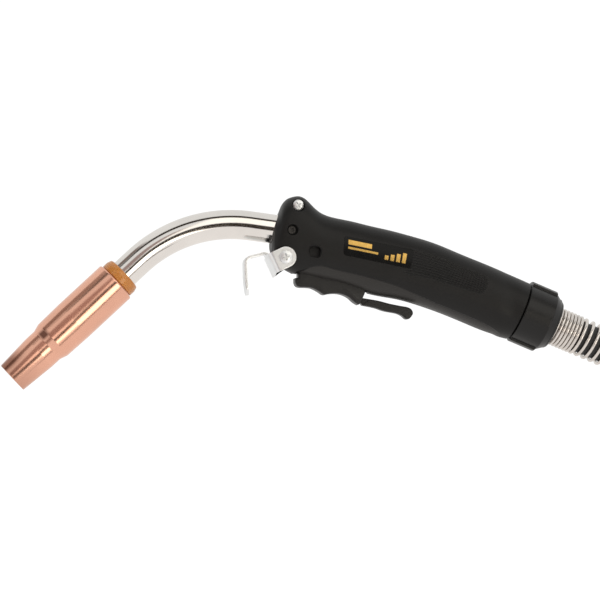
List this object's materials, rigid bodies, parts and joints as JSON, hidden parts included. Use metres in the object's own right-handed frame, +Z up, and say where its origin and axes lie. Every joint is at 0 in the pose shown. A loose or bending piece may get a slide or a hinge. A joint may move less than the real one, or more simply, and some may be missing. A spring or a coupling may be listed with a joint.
{
  "type": "gooseneck welding torch",
  "caption": "Air-cooled wire-feed welding torch: copper nozzle on a bent conductor tube, split black handle with trigger lever and hanger hook, sprung cable strain relief.",
  "frame": {"origin": "centre of the contact tip's front face, where the wire leaves", "axes": "+X from the nozzle towards the cable along the length, +Z up with the torch in its working attitude, Y = 0 is the split plane of the handle"},
  "size_m": [0.4892, 0.0416, 0.1449],
  "materials": {
    "nozzle": "drawn copper, bright with fine turning marks",
    "nozzle_insulator": "amber heat-resistant resin",
    "gas_diffuser": "turned brass",
    "contact_tip": "drawn copper alloy",
    "tube_core": "copper tube",
    "tube_insulation": "glass-filled insulation sleeve",
    "tube_jacket": "polished nickel plate",
    "wire_liner": "coiled spring-steel conduit",
    "cable_connector": "machined brass",
    "connector_screw_1": "black oxide socket set screw",
    "connector_screw_2": "black oxide socket set screw",
    "cable_terminal": "crimped copper terminal",
    "cable_conductor": "bunched copper strands",
    "gas_hose": "natural polymer hose",
    "cable_jacket": "black cable rubber",
    "cable_gland": "swaged aluminium ferrule",
    "rear_nut": "glass-filled nylon, satin",
    "strain_spring": "bright drawn spring wire",
    "handle_near": "glass-filled nylon, fine texture",
    "handle_far": "glass-filled nylon, fine texture",
    "lug_screw": "zinc plate",
    "lug_nut": "zinc plate",
    "hook_screw": "zinc plate",
    "hook_nut": "zinc plate",
    "tube_lock_screw": "plain steel socket set screw",
    "trigger_pin": "ground steel pin",
    "hanger_hook": "zinc-plated strip",
    "trigger": "black nylon, fine texture",
    "trigger_lever": "black nylon, fine texture",
    "trigger_switch": "black phenolic case",
    "switch_plunger": "red nylon",
    "trigger_lead_1": "white wire insulation",
    "trigger_lead_2": "blue wire insulation",
    "label_plate": "black film with plain gold bars"
  },
  "bodies": {
    "torch": {"nozzle_insulator": "nozzle_insulator", "gas_diffuser": "gas_diffuser", "contact_tip": "contact_tip", "tube_core": "tube_core", "tube_insulation": "tube_insulation", "tube_jacket": "tube_jacket", "wire_liner": "wire_liner", "cable_connector": "cable_connector", "connector_screw_1": "connector_screw_1", "connector_screw_2": "connector_screw_2", "cable_terminal": "cable_terminal", "cable_conductor": "cable_conductor", "gas_hose": "gas_hose", "cable_jacket": "cable_jacket", "cable_gland": "cable_gland", "strain_spring": "strain_spring", "handle_near": "handle_near", "handle_far": "handle_far", "lug_screw": "lug_screw", "lug_nut": "lug_nut", "hook_screw": "hook_screw", "hook_nut": "hook_nut", "tube_lock_screw": "tube_lock_screw", "trigger_pin": "trigger_pin", "trigger_switch": "trigger_switch", "trigger_lead_1": "trigger_lead_1", "trigger_lead_2": "trigger_lead_2", "label_plate": "label_plate"},
    "nozzle": {"nozzle": "nozzle"},
    "hook": {"hanger_hook": "hanger_hook"},
    "trigger": {"trigger": "trigger", "trigger_lever": "trigger_lever"},
    "switch_button": {"switch_plunger": "switch_plunger"},
    "nut": {"rear_nut": "rear_nut"}
  },
  "joints": [
    {"name": "trigger_press", "type": "hinge", "parent": "torch", "child": "trigger", "pos_m": [0.186, 0, 0.0685], "axis": [0, -1, 0], "range_deg": [0, 1.9]},
    {"name": "switch_press", "type": "slide", "parent": "torch", "child": "switch_button", "axis": [0, 0, 1], "range_m": [0, 0.00091]},
    {"name": "nozzle_slide", "type": "slide", "parent": "torch", "child": "nozzle", "axis": [-0.729, 0, -0.6845], "range_m": [0, 0.06]},
    {"name": "hook_swing", "type": "hinge", "parent": "torch", "child": "hook", "pos_m": [0.1719, 0, 0.0754], "axis": [0, -1, 0], "range_deg": [-15, 30]},
    {"name": "nut_turn", "type": "hinge", "parent": "torch", "child": "nut", "pos_m": [0.328, 0, 0.0425], "axis": [0.9232, 0, -0.3843], "continuous": true}
  ],
  "couplings": [
    {"joint": "switch_press", "follows": "trigger_press", "m_per_rad": 0.026}
  ]
}
